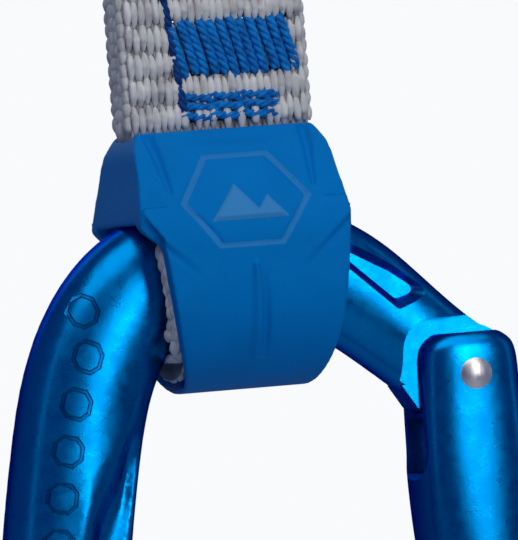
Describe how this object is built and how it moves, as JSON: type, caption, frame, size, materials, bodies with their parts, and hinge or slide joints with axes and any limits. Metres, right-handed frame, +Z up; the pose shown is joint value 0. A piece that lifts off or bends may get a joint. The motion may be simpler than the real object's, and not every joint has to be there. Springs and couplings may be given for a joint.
{
  "type": "climbing quickdraw",
  "caption": "Quickdraw: straight-gate and bent-gate keylock carabiners joined by a sewn webbing sling with a rubber keeper at the rope end",
  "frame": {"origin": "the hanger seat: the highest point inside the upper carabiner's basket, where a bolt hanger bears", "axes": "+Z up with the draw hanging, +X towards both gates, -Y the front face"},
  "size_m": [0.0582, 0.0212, 0.2821],
  "materials": {
    "upper_anodised": "satin anodised",
    "upper_gate_finish": "satin anodised",
    "lower_anodised": "satin anodised",
    "lower_gate_finish": "satin anodised",
    "steel": "polished",
    "spring_steel": "drawn",
    "thread": "twisted",
    "label": "woven",
    "webbing": "woven",
    "keeper_rubber": "matt moulded"
  },
  "bodies": {
    "upper_carabiner": {"upper_body": "upper_anodised"},
    "upper_gate_set": {"upper_gate": "upper_gate_finish", "upper_gate_rivet": "steel"},
    "upper_plunger_set": {"upper_gate_plunger": "steel", "upper_gate_spring": "spring_steel"},
    "sewn_sling": {"sling_webbing": "webbing", "keeper": "keeper_rubber", "label": "label", "lower_wide_tack": "thread", "lower_narrow_tack": "thread", "lower_side_run": "thread", "upper_wide_tack": "thread", "upper_narrow_tack": "thread", "upper_side_run": "thread", "middle_tack": "thread"},
    "lower_carabiner": {"lower_body": "lower_anodised"},
    "lower_gate_set": {"lower_gate": "lower_gate_finish", "lower_gate_rivet": "steel"},
    "lower_plunger_set": {"lower_gate_plunger": "steel", "lower_gate_spring": "spring_steel"}
  },
  "joints": [
    {"name": "upper_gate_hinge", "type": "hinge", "parent": "upper_carabiner", "child": "upper_gate_set", "pos_m": [0.0204, 0, -0.0685], "axis": [0, -1, 0], "range_deg": [0, 25], "stiffness_Nm_per_rad": 0.35, "springref_deg": -20.05},
    {"name": "upper_plunger_slide", "type": "slide", "parent": "upper_gate_set", "child": "upper_plunger_set", "axis": [0.1805, 0, 0.9836], "range_m": [0, 0.00108], "deforming": ["upper_gate_spring"]},
    {"name": "sling_swing", "type": "hinge", "parent": "upper_carabiner", "child": "sewn_sling", "pos_m": [0, 0, -0.0797], "axis": [1, 0, 0], "range_deg": [-45, 45]},
    {"name": "lower_carabiner_nod", "type": "hinge", "parent": "sewn_sling", "child": "lower_carabiner", "pos_m": [0, 0, -0.18395], "axis": [1, 0, 0], "range_deg": [-6, 6]},
    {"name": "lower_gate_hinge", "type": "hinge", "parent": "lower_carabiner", "child": "lower_gate_set", "pos_m": [0.0204, 0, -0.19195], "axis": [0, 1, 0], "range_deg": [0, 25], "stiffness_Nm_per_rad": 0.35, "springref_deg": -20.05},
    {"name": "lower_plunger_slide", "type": "slide", "parent": "lower_gate_set", "child": "lower_plunger_set", "axis": [0, 0, -1], "range_m": [0, 0.00108], "deforming": ["lower_gate_spring"]}
  ],
  "couplings": [
    {"joint": "upper_plunger_slide", "follows": "upper_gate_hinge", "m_per_rad": 0.002443},
    {"joint": "lower_plunger_slide", "follows": "lower_gate_hinge", "m_per_rad": 0.002443}
  ]
}
